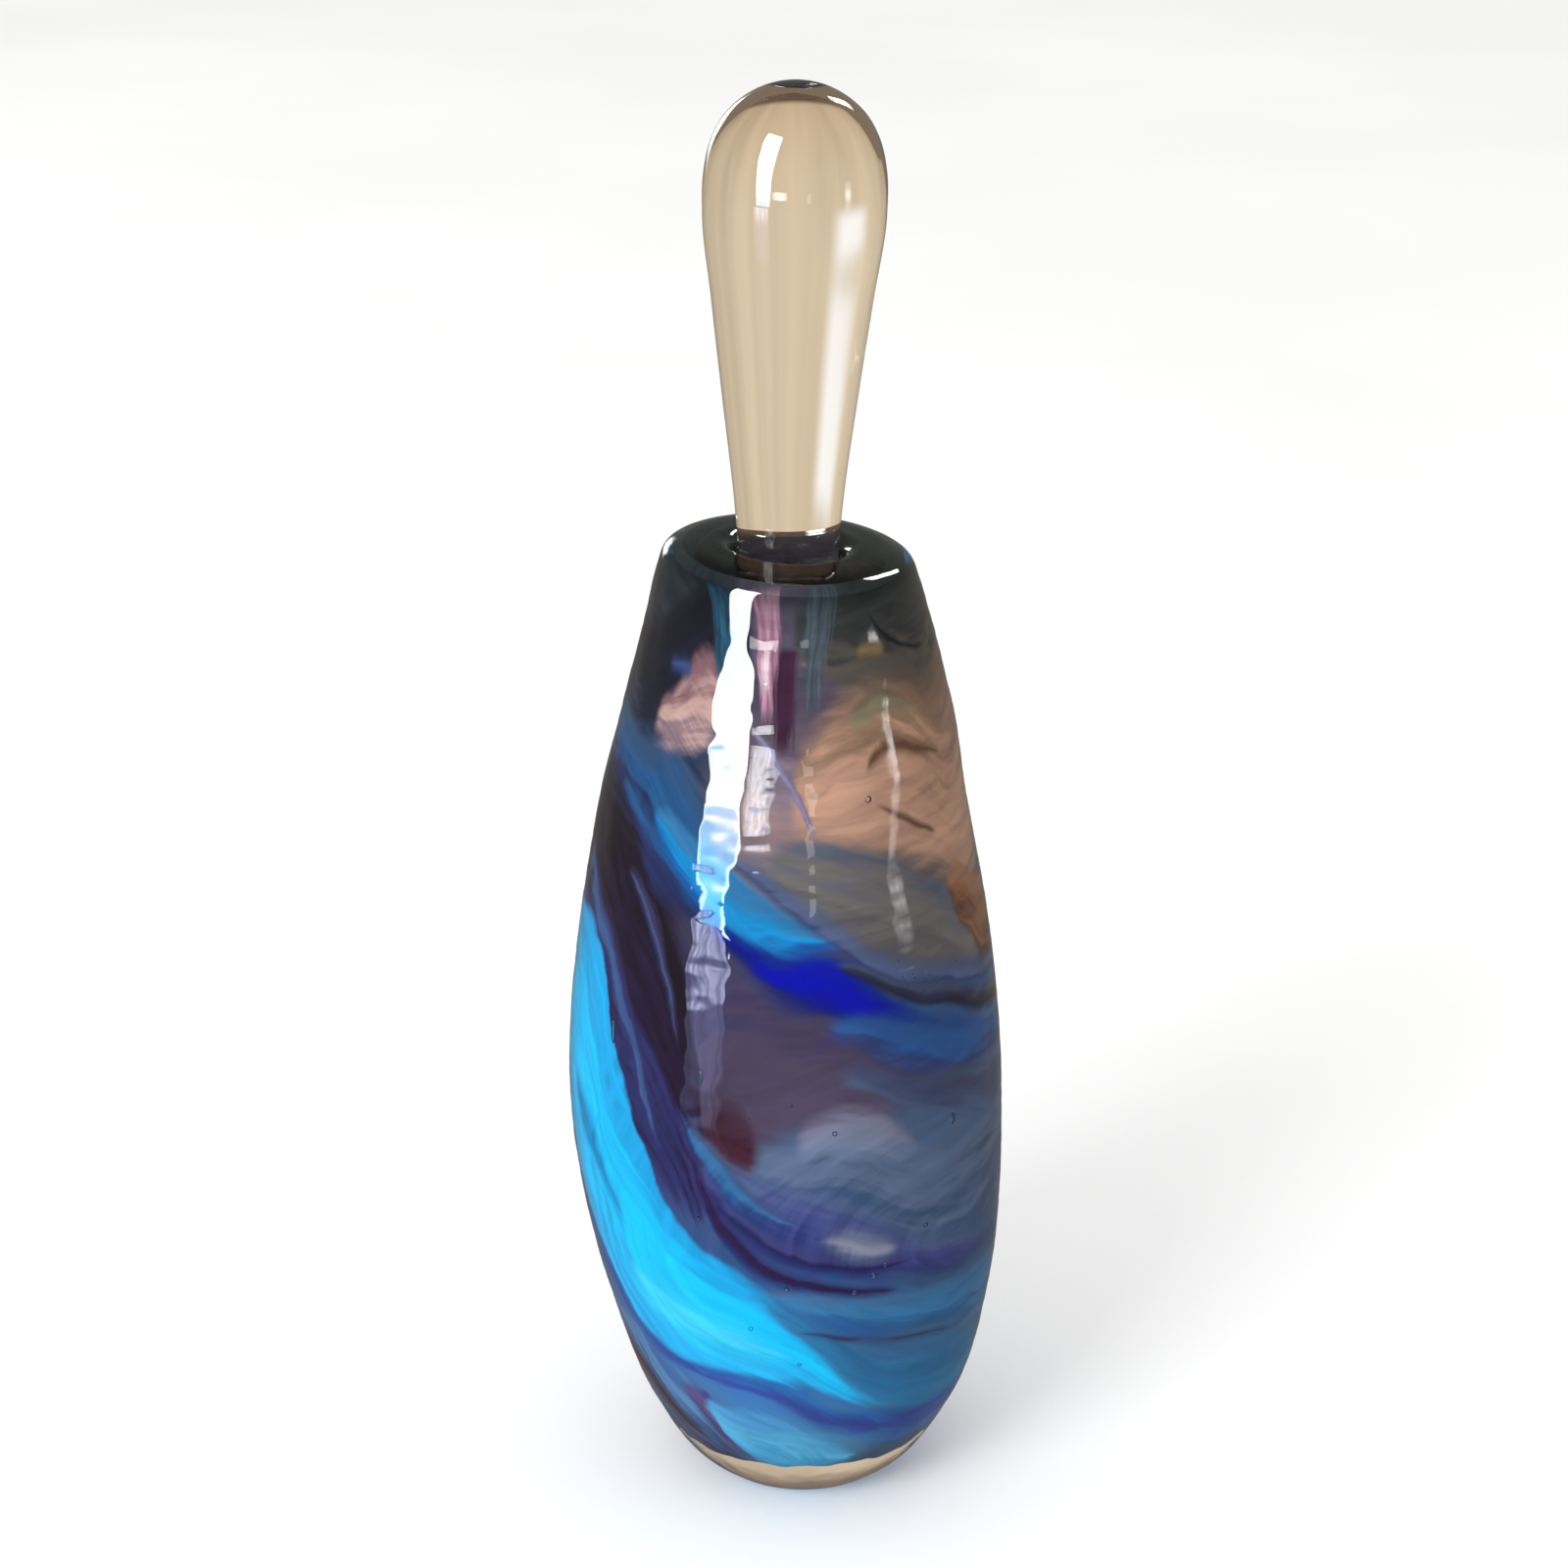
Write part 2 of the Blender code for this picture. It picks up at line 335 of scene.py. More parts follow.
def colour_ribbon(index, name, material):
    """One ribbon of dense colour, wound round the bubble within the wall."""
    share = 2 * math.pi / len(STREAKS)
    bubble = smooth_line(COLOUR_OUTLINE, HOLLOW_STEP)
    outer = [p for p in offset_inward(bubble, STREAK_DEPTH) if p.x > STREAK_EYE[0]]
    inner = [p for p in offset_inward(bubble, STREAK_DEPTH + STREAK_THICKNESS) if p.x > STREAK_EYE[1]]
    rows = min(len(outer), len(inner))
    outer = outer[-rows:]
    inner = inner[-rows:]
    points = []
    for outline in (outer, inner):
        for radius, height in outline:
            twist = STREAK_TWIST * ease((STREAK_TOP - height) / (STREAK_TOP - STREAK_FOOT))
            for step in range(STREAK_ACROSS + 1):
                angle = share * (index + step / STREAK_ACROSS) + twist
                spot = Vector((radius * math.cos(angle), radius * math.sin(angle), height))
                points.append(hand_formed(spot))
    wide = STREAK_ACROSS + 1
    back = rows * wide
    faces = []
    for row in range(rows - 1):
        for step in range(STREAK_ACROSS):
            a = row * wide + step
            faces.append([a, a + 1, a + 1 + wide, a + wide])
            faces.append([a + back, a + back + wide, a + back + wide + 1, a + back + 1])
        left = row * wide
        right = left + STREAK_ACROSS
        faces.append([left, left + wide, left + wide + back, left + back])
        faces.append([right, right + back, right + wide + back, right + wide])
    for step in range(STREAK_ACROSS):
        faces.append([step, step + back, step + 1 + back, step + 1])
        a = (rows - 1) * wide + step
        faces.append([a, a + 1, a + 1 + back, a + back])
    piece_from(f"{name}_ribbon", points, faces, material, "bottle", (f"{name}_streak",))


def stopper(material):
    """The stopper as one solid that leans a little, with faint draw lines along its head."""
    outline = reversed(smooth_line(STOPPER_OUTLINE, GLASS_STEP))
    points, faces = turned(outline, STOPPER_SEGMENTS)
    foot = HEAD_LOW.z / MM
    top = STOPPER_OUTLINE[0][1]
    made = []
    for point in points:
        if math.hypot(point.x, point.y) > ON_AXIS and point.z > foot:
            rise = ease((point.z - foot) / HEAD_FOOT_FADE)
            fall = ease((top - point.z) / HEAD_TOP_FADE)
            point = grown(point, swell(point, STOPPER_WAVES) * (rise * fall))
        lean = HEAD_LEAN * ease((point.z - foot) / (top - foot))
        made.append(Vector((point.x + MOUTH_X + lean, point.y, point.z)))
    nodes = ("stopper_head", "ground_plug", "dauber")
    piece_from("glass_stopper", made, faces, material, "stopper", nodes)


# Materials

GLASS_IOR = 1.5
BOTTLE_TINT = (0.97, 0.98, 0.965)
# The bottle's lip colour: a grey-green smoke tint of the glass, made darker as painted shade for the dark
# lip and mouth.
LIP_SMOKE_AND_SHADE = (0.46, 0.52, 0.50)
# The stopper's faint warm tint is partly painted light: it adds to the beige of the warm room seen through
# the clear glass.
STOPPER_ROOM_TINT = (0.99, 0.98, 0.955)
GROUND_TINT = (0.62, 0.64, 0.62)
# The lip's tint comes in over these heights.
LIP_FROM = 116.0
LIP_TO = 122.5
# The ground glass of the seat and the plug comes in, goes out, and ends outwards over these.
GROUND_FROM = (SEAT_BOTTOM - 0.4, SEAT_BOTTOM + 0.4)
GROUND_TO = (SEAT_TOP - 0.5, SEAT_TOP + 0.2)
GROUND_REACH = (6.35, 6.75)
SEAT_ROUGHNESS = 0.35
PLUG_ROUGHNESS = 0.30
# The foot is rubbed flat: its roughness ends over these heights.
FOOT_RUBBED = (0.05, 0.35)
FOOT_ROUGHNESS = 0.28
WEAR_ROUGHNESS = 0.02
GRAIN_SCALE = 5200.0
WEAR_SCALE = 120.0


def linear(colour):
    """An 8-bit sRGB colour as linear values."""
    shares = [channel / 255 for channel in colour]
    return tuple(s / 12.92 if s <= 0.04045 else ((s + 0.055) / 1.055) ** 2.4 for s in shares)


class Graph:
    """Short calls that add nodes to a node tree and return their output sockets."""

    def __init__(self, tree):
        self.tree = tree

    def plug(self, socket, value):
        if isinstance(value, bpy.types.NodeSocket):
            self.tree.links.new(value, socket)
        else:
            socket.default_value = value

    def math(self, operation, *values):
        node = self.tree.nodes.new("ShaderNodeMath")
        node.operation = operation
        for socket, value in zip(node.inputs, values):
            self.plug(socket, value)
        return node.outputs[0]

    def combine(self, x, y, z=0.0):
        node = self.tree.nodes.new("ShaderNodeCombineXYZ")
        for socket, value in zip(node.inputs, (x, y, z)):
            self.plug(socket, value)
        return node.outputs[0]

    def fade(self, value, start, end, low=0.0, high=1.0, smooth=True):
        """The value carried from start..end to low..high, and held at the ends."""
        node = self.tree.nodes.new("ShaderNodeMapRange")
        node.interpolation_type = "SMOOTHSTEP" if smooth else "LINEAR"
        node.clamp = True
        for socket, given in zip(node.inputs, (value, start, end, low, high)):
            self.plug(socket, given)
        return node.outputs[0]

    def noise(self, vector, scale=1.0, detail=2.0, roughness=0.5, distortion=0.0):
        node = self.tree.nodes.new("ShaderNodeTexNoise")
        given = {"Scale": scale, "Detail": detail, "Roughness": roughness, "Distortion": distortion}
        for name, value in given.items():
            node.inputs[name].default_value = value
        self.plug(node.inputs["Vector"], vector)
        return node.outputs["Fac"]

    def curve(self, value, knots):
        """A smooth line through knots whose numbers run from 0 to 1."""
        node = self.tree.nodes.new("ShaderNodeFloatCurve")
        line = node.mapping.curves[0]
        while len(line.points) < len(knots):
            line.points.new(0.5, 0.5)
        for point, knot in zip(line.points, knots):
            point.location = knot
        node.mapping.extend = "HORIZONTAL"
        node.mapping.update()
        self.plug(node.inputs["Value"], value)
        return node.outputs[0]

    def ramp(self, value, stops):
        """A colour ramp through (place, sRGB colour) stops."""
        node = self.tree.nodes.new("ShaderNodeValToRGB")
        ramp = node.color_ramp
        ramp.interpolation = "EASE" if len(stops) < 4 else "LINEAR"
        while len(ramp.elements) < len(stops):
            ramp.elements.new(0.5)
        for element, (place, colour) in zip(ramp.elements, stops):
            element.position = place
            element.color = (*linear(colour), 1.0)
        self.plug(node.inputs["Fac"], value)
        return node.outputs["Color"]

    def mix(self, share, first, second, blend="MIX"):
        node = self.tree.nodes.new("ShaderNodeMix")
        node.data_type = "RGBA"
        node.blend_type = blend
        self.plug(node.inputs["Factor"], share)
        self.plug(node.inputs["A"], first)
        self.plug(node.inputs["B"], second)
        return node.outputs["Result"]


def empty_material(name):
    """A new material and its shader."""
    material = bpy.data.materials.new(name)
    material.use_nodes = True
    return material, material.node_tree.nodes["Principled BSDF"]


def object_place(graph):
    """The point's place in metres, and its x, y and z in millimetres."""
    place = graph.tree.nodes.new("ShaderNodeTexCoord").outputs["Object"]
    split = graph.tree.nodes.new("ShaderNodeSeparateXYZ")
    graph.plug(split.inputs[0], place)
    return place, [graph.math("MULTIPLY", axis, 1 / MM) for axis in split.outputs]


def clear_glass(name, tint, lip_tint, ground_roughness):
    """Polished glass that turns ground and grey near the axis at the seat, and takes the lip's colour
    towards the lip; on the bottle that is a grey-green smoke tint, darkened further as painted shade.
    """
    material, shader = empty_material(name)
    graph = Graph(material.node_tree)
    place, (x, y, z) = object_place(graph)
    shader.inputs["Transmission Weight"].default_value = 1.0
    shader.inputs["IOR"].default_value = GLASS_IOR
    across = graph.math("SUBTRACT", x, MOUTH_X)
    squares = graph.math("MULTIPLY", across, across), graph.math("MULTIPLY", y, y)
    radius = graph.math("SQRT", graph.math("ADD", *squares))
    inside = graph.fade(radius, *GROUND_REACH, 1.0, 0.0)
    above = graph.fade(z, *GROUND_FROM)
    below = graph.fade(z, *GROUND_TO, 1.0, 0.0)
    ground = graph.math("MULTIPLY", inside, graph.math("MULTIPLY", above, below))
    grain = graph.fade(graph.noise(place, GRAIN_SCALE, 3.0, 0.6), 0.3, 0.7, 0.75, 1.15)
    foot = graph.fade(z, *FOOT_RUBBED, FOOT_ROUGHNESS, 0.0)
    rough = graph.math("MULTIPLY", graph.math("MULTIPLY", ground, grain), ground_roughness)
    wear = graph.fade(graph.noise(place, WEAR_SCALE, 4.0, 0.6), 0.35, 0.75, 0.0, WEAR_ROUGHNESS)
    graph.plug(shader.inputs["Roughness"], graph.math("ADD", graph.math("ADD", rough, foot), wear))
    lip_toned = graph.mix(graph.fade(z, LIP_FROM, LIP_TO), (*tint, 1.0), (*lip_tint, 1.0))
    tinted = graph.mix(ground, lip_toned, (*GROUND_TINT, 1.0))
    graph.plug(shader.inputs["Base Color"], tinted)
    return material


# The swirl. A band is a stroke that runs round the bottle. It is its name, its knots (degrees round
# from the front, height, half width), its colours from its lower edge to its upper edge, and how
# soft its edges are.
HIGHEST = 125.0
WIDEST = 20.0
NARROWEST = 0.05
# Each stroke's curves wait for the colour below them, or the shader holds too many values at once.
ORDER_TIE = 1e-9
# The thick glass at the neck widens what lies in front, so the strokes there are drawn closer.
NECK_SPREAD = 1.17
NECK_FROM = 82.0
NECK_TO = 110.0
# How the paint's own middle moves with height: (from, to, shift before, shift after)
PAINT_BOW = (10.0, 58.0, 0.0, -2.3)
PAINT_NECK = (90.0, 104.0, 0.0, 0.5)
# The strokes wander by up to half of these, up and down and, in degrees, round the bottle.
WANDER = 3.0
SWAY = 6.0
# A stroke comes in and goes out over this many degrees.
END_FADE = 6.0
# The fibres follow the lines of these two strokes, the first one high up and the second low down.
FIBRE_GUIDES = ("steel_shoulder", "great_turquoise")

SKY = (24, 198, 254)
TURQUOISE = (22, 130, 190)
STEEL = (48, 92, 142)
SLATE = (76, 98, 130)
COBALT = (0, 8, 164)
NAVY = (26, 26, 42)
AUBERGINE = (36, 24, 50)
MAROON = (70, 34, 50)
SMOKE = (74, 64, 86)
VIOLET = (66, 72, 128)
INDIGO = (40, 50, 104)
PEACH = (192, 148, 124)
COPPER = (140, 92, 64)
OLIVE = (110, 104, 102)
SOOT = (52, 52, 52)
LILAC = (132, 126, 160)
HIGHLIGHT_CREAM = (140, 142, 158)

# What lies under the strokes at the left, the middle and the right, from the foot to the lip
LEFT_GROUND = (
    (0.04, (60, 60, 90)), (0.16, (80, 118, 165)), (0.26, (55, 100, 155)), (0.38, (48, 54, 105)),
    (0.56, (42, 34, 68)), (0.70, (30, 20, 32)), (0.80, (40, 56, 84)), (0.88, (28, 26, 42)),
    (0.98, (48, 54, 60)),
)
MIDDLE_GROUND = (
    (0.06, (90, 150, 190)), (0.18, (44, 100, 165)), (0.32, (50, 78, 124)), (0.41, (84, 92, 124)),
    (0.50, (72, 62, 82)), (0.62, (66, 66, 96)), (0.69, (104, 104, 114)), (0.79, (118, 100, 104)),
    (0.86, (76, 66, 84)), (0.98, (84, 78, 94)),
)
RIGHT_GROUND = (
    (0.06, (64, 84, 110)), (0.20, (54, 96, 136)), (0.34, (74, 94, 126)), (0.46, (68, 80, 110)),
    (0.55, (48, 84, 132)), (0.62, (98, 90, 92)), (0.70, (120, 104, 98)), (0.80, (150, 114, 92)),
    (0.88, (76, 70, 66)), (0.97, (50, 50, 50)),
)

BACK_BANDS = (
    ("back_peach",
     ((-110, 92, 8), (-70, 94, 9), (-30, 98, 8), (0, 101, 5), (24, 104, 0.5)),
     ((120, 104, 98), PEACH, (140, 108, 92)), 2.2),
    ("back_aubergine",
     ((-50, 100, 0.5), (-20, 97, 3), (10, 92, 5), (40, 86, 6), (70, 82, 6), (95, 80, 6)),
     (AUBERGINE, (30, 20, 40), NAVY), 2.2),
    ("back_turquoise",
     ((-90, 89, 0.3), (-60, 85, 2.4), (-25, 80, 4.6), (10, 74, 6.6), (45, 68, 8.5),
      (80, 63, 10), (110, 60, 11)),
     (TURQUOISE, SKY, (40, 140, 190)), 1.4),
    ("back_steel",
     ((-110, 60, 2.4), (-80, 58, 3.2), (-45, 54, 4.5), (-10, 49, 5.5), (25, 44, 5),
      (60, 39, 3), (90, 36, 0.5)),
     ((40, 50, 120), STEEL, (60, 110, 160)), 1.8),
    ("back_cobalt",
     ((-70, 60, 0.3), (-40, 57, 1.6), (-5, 53, 2.4), (30, 47, 1.8), (60, 43, 0.3)),
     ((14, 34, 120), (10, 26, 160), (20, 50, 140)), 1.4),
    ("back_low_turquoise",
     ((-110, 26, 3.8), (-80, 26, 3.8), (-40, 24, 4), (0, 21, 3.4), (40, 19, 2), (70, 18, 0.3)),
     ((40, 110, 160), (34, 150, 205), (56, 100, 146)), 1.4),
    ("back_violet",
     ((-100, 12, 4), (-50, 11, 4), (0, 10, 3.6), (50, 12, 3), (90, 16, 1)),
     ((50, 60, 110), VIOLET, (70, 90, 150)), 1.6),
)
BANDS = (
    ("slate_cloud",
     ((-20, 52, 1), (0, 52, 5), (16, 52, 7), (45, 47, 10), (87, 48, 12), (130, 50, 4)),
     ((62, 84, 118), (92, 108, 138), SLATE), 4.0),
    ("pale_cloud",
     ((2, 55, 0.3), (12, 57, 3.4), (24, 57, 4.6), (34, 55, 3), (46, 52, 0.3)),
     ((118, 130, 156), (122, 122, 144), (104, 96, 120)), 3.0),
    ("smoky_centre",
     ((-48, 62, 1), (-30, 62, 8), (-20, 64, 11), (0, 64, 8), (18, 64, 5), (38, 61, 3), (60, 58, 1)),
     ((78, 66, 88), SMOKE, (60, 54, 84)), 3.6),
    ("maroon_oval",
     ((-30, 55, 0.3), (-24, 55, 3.4), (-17, 55, 4.4), (-11, 54, 2.6), (-6, 54, 0.3)),
     (MAROON, (60, 26, 40), (66, 42, 60)), 2.2),
    ("aubergine_sweep",
     ((-130, 81, 5), (-98, 79, 8), (-84, 77, 10), (-66, 72, 12.5), (-53, 69, 14.5), (-42, 64, 15))
     + ((-34, 59, 13), (-28, 53, 9), (-22, 47, 2), (-16, 43, 0.3)),
     ((44, 46, 94), AUBERGINE, (26, 17, 28)), 2.6),
    ("steel_streak",
     ((-112, 83, 0.5), (-92, 78, 2), (-77, 74, 2.4), (-62, 68, 2.6), (-50, 60, 2), (-40, 51, 0.3)),
     ((50, 60, 112), (62, 86, 132), (48, 48, 90)), 2.4),
    ("upper_steel_streak",
     ((-72, 84, 0.3), (-60, 82, 1.2), (-50, 78, 1.8), (-42, 72, 1.4), (-34, 64, 0.3)),
     ((46, 50, 92), (64, 78, 116), (56, 50, 84)), 2.0),
    ("mauve_neck",
     ((-34, 98, 2), (-20, 98, 7), (0, 97, 7.4), (16, 97, 7), (28, 96, 3)),
     ((150, 122, 122), (130, 112, 122), (88, 76, 92)), 3.6),
    ("peach_field",
     ((0, 97, 2), (15, 98, 7), (33, 99, 9), (50, 99, 10.5), (71, 96, 12), (95, 90, 11), (130, 92, 3)),
     ((176, 136, 116), PEACH, (140, 110, 90)), 2.6),
    ("olive_field",
     ((-8, 88, 2), (14, 86, 5.6), (32, 84, 6.6), (54, 80, 6), (74, 76, 4.6), (95, 73, 3),
      (125, 72, 0.5)),
     ((94, 90, 92), OLIVE, (88, 92, 106)), 1.5),
    ("copper_edge",
     ((72, 82, 0.5), (84, 78, 4.4), (96, 74, 6), (108, 73, 4), (128, 72, 0.5)),
     ((88, 62, 50), COPPER, (150, 108, 82)), 1.6),
    ("brown_feather",
     ((36, 99, 0.2), (46, 101, 0.9), (58, 101.5, 1.1), (72, 100, 0.9), (92, 97, 0.2)),
     ((120, 84, 62), (104, 72, 54), (126, 92, 70)), 1.0),
    ("green_feather",
     ((30, 105, 0.2), (40, 106, 1.2), (52, 107, 1.4), (66, 106, 0.9), (80, 104, 0.2)),
     ((138, 124, 98), (130, 122, 96), (110, 96, 76)), 1.0),
    ("feather_curve",
     ((40, 95, 0.1), (50, 93.5, 0.5), (62, 91, 0.6), (76, 88, 0.1)),
     ((110, 80, 62), (104, 76, 60), (120, 90, 70)), 0.7),
    ("navy_neck",
     ((-135, 106, 5), (-100, 104, 9), (-80, 106, 11), (-60, 109, 11), (-42, 112, 9),
      (-30, 114, 5), (-20, 114, 0.5)),
     ((42, 56, 82), NAVY, (22, 22, 32)), 2.0),
    ("peach_patch",
     ((-84, 103, 0.5), (-74, 104, 3.4), (-63, 105.5, 5.4), (-52, 107, 5.8), (-43, 107.4, 4.4),
      (-34, 107, 0.5)),
     ((140, 116, 124), (196, 158, 150), (126, 92, 98)), 2.4),
    ("blue_fleck",
     ((-82, 110, 0.2), (-74, 110.5, 0.9), (-66, 110.8, 1), (-58, 110, 0.2)),
     ((44, 62, 104), (52, 74, 118), (40, 50, 80)), 1.2),
    ("soot_neck",
     ((0, 117, 1), (17, 116, 4.5), (53, 115, 6), (96, 112, 5), (135, 112, 4)),
     ((86, 78, 72), SOOT, (58, 60, 60)), 2.2),
    ("ochre_fleck",
     ((40, 113, 0.2), (48, 113.2, 0.9), (56, 113, 1), (66, 112.6, 0.2)),
     ((120, 96, 66), (126, 102, 70), (96, 84, 68)), 1.0),
    ("dark_crack",
     ((50, 118, 0.1), (60, 115, 0.35), (72, 112.6, 0.45), (88, 111, 0.35), (104, 110, 0.1)),
     (NAVY, (22, 22, 24), NAVY), 0.4),
    ("steel_shoulder",
     ((-135, 97, 3), (-95, 96, 4), (-80, 95, 5), (-68, 94, 6), (-52, 91, 8), (-38, 88, 7),
      (-26, 84, 4), (-16, 81, 0.5)),
     ((36, 44, 84), (34, 82, 130), (48, 74, 108)), 1.6),
    ("bright_shoulder",
     ((-64, 92, 0.3), (-54, 90.5, 2.2), (-44, 88.6, 3.4), (-34, 86.6, 4.2), (-24, 84.4, 4.6),
      (-14, 82.2, 4.4))
     + ((-4, 80.6, 3.6), (8, 79.4, 2.2), (18, 78.8, 1), (26, 78.5, 0.2)),
     ((22, 90, 160), (20, 136, 196), (48, 110, 156)), 1.4),
    ("blue_violet_edge",
     ((-30, 90, 0.2), (-20, 89, 0.9), (0, 85, 1.3), (18, 80.4, 1.6), (36, 75.5, 1.7), (56, 72.2, 1.3))
     + ((86, 68.6, 1), (130, 64, 0.5)),
     ((44, 54, 98), (80, 92, 128), (84, 88, 106)), 1.4),
    ("cobalt_sweep",
     ((-32, 81, 0.2), (-22, 79.6, 1.6), (-10, 77, 2.4), (0, 75, 3), (14, 74, 4), (27, 71.6, 4))
     + ((41, 68, 2.8), (58, 65, 1.5), (85, 61, 0.3)),
     ((16, 30, 100), (4, 16, 138), (12, 40, 126)), 1.8),
    ("cobalt_core",
     ((-14, 77, 0.2), (-2, 75.6, 1.1), (10, 74.4, 2.4), (20, 73, 2.4), (30, 71, 1), (40, 69.4, 0.2)),
     ((2, 14, 150), COBALT, (2, 16, 150)), 1.6),
    ("dark_thread",
     ((16, 76.4, 0.2), (28, 75, 0.8), (42, 72, 1.2), (59, 69.4, 1.4), (100, 63, 1.3), (135, 60, 0.3)),
     (NAVY, (40, 46, 70), (62, 72, 96)), 0.9),
    ("steel_sweep",
     ((12, 69.4, 0.3), (26, 68.2, 1.8), (40, 66, 2.9), (56, 63.6, 3.3), (80, 60.6, 2.9),
      (105, 58, 2), (135, 56, 0.5)),
     ((44, 62, 116), (42, 86, 144), (38, 74, 132)), 1.6),
    ("dusk_sweep",
     ((16, 64, 0.3), (32, 62, 1.8), (50, 58, 2.8), (76, 54, 4), (95, 52, 4.4), (135, 50, 1)),
     (SLATE, (66, 76, 108), (64, 66, 98)), 2.6),
    ("violet_swirl",
     ((-30, 50, 0.5), (-18, 48, 3.4), (-2, 45, 4.4), (16, 42, 4.2), (36, 38, 3.6),
      (64, 34.6, 2), (100, 33, 0.3)),
     ((46, 56, 112), VIOLET, (80, 94, 134)), 2.4),
    ("turquoise_arc",
     ((-36, 58, 0.2), (-30, 54.5, 1.4), (-24, 51.5, 2.2), (-17, 48.6, 1.9), (-8, 45.8, 1.2),
      (4, 43.6, 0.2)),
     ((34, 62, 116), (50, 104, 150), (62, 80, 116)), 1.6),
    ("indigo_arc",
     ((-27, 47.4, 0.3), (-18, 44.6, 1.2), (-8, 41.8, 1.6), (4, 39.4, 1.7), (18, 38, 1.3), (40, 37, 0.3)),
     (INDIGO, (38, 34, 84), (60, 62, 112)), 1.1),
    # Painted highlight: a pale cream patch low on the right front.
    ("pale_highlight_patch",
     ((8, 41.8, 0.2), (14, 41.4, 1.2), (22, 40.6, 1.7), (30, 39.8, 1.2), (36, 39.4, 0.2)),
     ((104, 114, 140), HIGHLIGHT_CREAM, (104, 112, 140)), 1.8),
    ("turquoise_right",
     ((-14, 34.5, 0.5), (-4, 34, 1.6), (12, 32.6, 2), (28, 31, 2.4), (48, 29.6, 2.8),
      (78, 27.4, 4), (130, 26, 1)),
     ((44, 104, 156), (60, 120, 168), (68, 100, 140)), 1.4),
    ("teal_right",
     ((-22, 28.6, 0.5), (-12, 28, 2.6), (5, 26, 3), (29, 23.6, 3), (56, 21.6, 3.4),
      (85, 19, 3.4), (130, 18, 1)),
     ((54, 126, 172), (60, 110, 156), (66, 104, 142)), 1.8),
    ("great_turquoise",
     ((-135, 66, 4), (-106, 62, 12), (-89, 57.5, 17), (-76, 52, 18.5), (-66, 45, 18.8),
      (-57, 40.6, 17.2))
     + ((-49, 37.2, 15.4), (-41, 33.6, 12), (-30, 31.2, 9.6), (-18, 29.6, 8.0), (-6, 27.6, 6.4))
     + ((8, 24, 4.2), (20, 20.8, 3.0), (35, 18, 2.0), (55, 16.4, 0.5)),
     ((44, 176, 232), SKY, (30, 160, 218)), 1.2),
    ("teal_shadow",
     ((-92, 56, 0.3), (-82, 51, 1.8), (-74, 48, 2.4), (-66, 43, 1.8), (-58, 38, 0.3)),
     ((22, 150, 205), (18, 130, 184), (22, 150, 205)), 2.0),
    ("bright_heart",
     ((-62, 34, 0.3), (-50, 31, 3.4), (-38, 29.4, 4), (-26, 27.8, 3.4), (-14, 26.4, 2), (-2, 25, 0.3)),
     ((50, 206, 250), (70, 214, 254), (40, 196, 248)), 2.6),
    ("low_teal",
     ((-20, 37, 0.2), (-10, 34, 1.0), (0, 30.6, 2.2), (10, 26.6, 3.2), (21, 22.4, 3.8), (35, 18.8, 4))
     + ((60, 17, 4.4), (90, 17, 4), (130, 18, 1)),
     ((52, 120, 168), (46, 118, 164), (50, 104, 150)), 1.8),
    ("aubergine_crescent",
     ((-38, 57, 0.2), (-31, 52, 1), (-25, 46.4, 1.6), (-18, 42, 1.8), (-8, 38.4, 1.3),
      (6, 36, 1), (18, 34.6, 0.7), (36, 33, 0.2)),
     ((38, 48, 100), (42, 24, 62), (46, 44, 96)), 0.9),
    ("aubergine_dash",
     ((-2, 29.4, 0.1), (5, 28.9, 0.4), (15, 27.8, 0.7), (28, 26.5, 0.6), (42, 25.4, 0.4), (60, 24, 0.1)),
     ((56, 76, 118), (56, 46, 84), (56, 78, 120)), 0.8),
    ("low_violet",
     ((-100, 37, 0.3), (-76, 30, 1.2), (-66, 24.5, 1.7), (-48, 21.2, 1.6), (-35, 20.6, 1.5),
      (-20, 19.8, 1.7))
     + ((-6, 18, 1.9), (12, 15, 2), (35, 12.6, 2.2), (76, 11, 3), (130, 11, 2)),
     ((62, 110, 170), (56, 74, 146), (46, 100, 168)), 1.2),
    ("low_steel",
     ((-95, 27, 0.5), (-76, 23, 3.4), (-68, 20, 5.2), (-61, 15.3, 6.8), (-50, 13, 5), (-42, 12, 1)),
     ((68, 98, 140), (92, 138, 184), (66, 104, 158)), 1.8),
    ("brown_foot",
     ((-125, 21, 2), (-95, 19, 3), (-79, 17, 3), (-66, 13, 3), (-56, 10, 1.5), (-48, 9, 0.3)),
     ((84, 66, 70), (66, 50, 56), (60, 62, 96)), 1.8),
    ("mauve_border",
     ((-50, 17, 0.3), (-44, 16, 1.8), (-40, 14, 3.2), (-35, 12, 4.4), (-29, 9.5, 1)),
     ((74, 62, 112), (96, 82, 128), (70, 66, 124)), 1.0),
    ("foot_turquoise",
     ((-42, 14.8, 0.2), (-38, 14.4, 1.4), (-33, 12.3, 3.4), (-18, 10.8, 4.4), (6, 9.8, 3.3),
      (24, 8.2, 1.3), (34, 8, 0.2)),
     ((72, 162, 212), (94, 184, 226), (78, 150, 200)), 1.0),
    ("lilac_thread",
     ((-28, 112, 0.1), (-21, 106, 0.4), (-10, 102.4, 0.8), (2, 98, 0.9), (12, 93, 0.5), (16, 91, 0.1)),
     ((120, 108, 134), LILAC, (110, 96, 120)), 0.8),
    ("copper_glint",
     ((6, 113, 0.1), (11, 112.6, 0.7), (16, 112, 0.1)),
     (COPPER, (190, 140, 96), COPPER), 0.5),
)

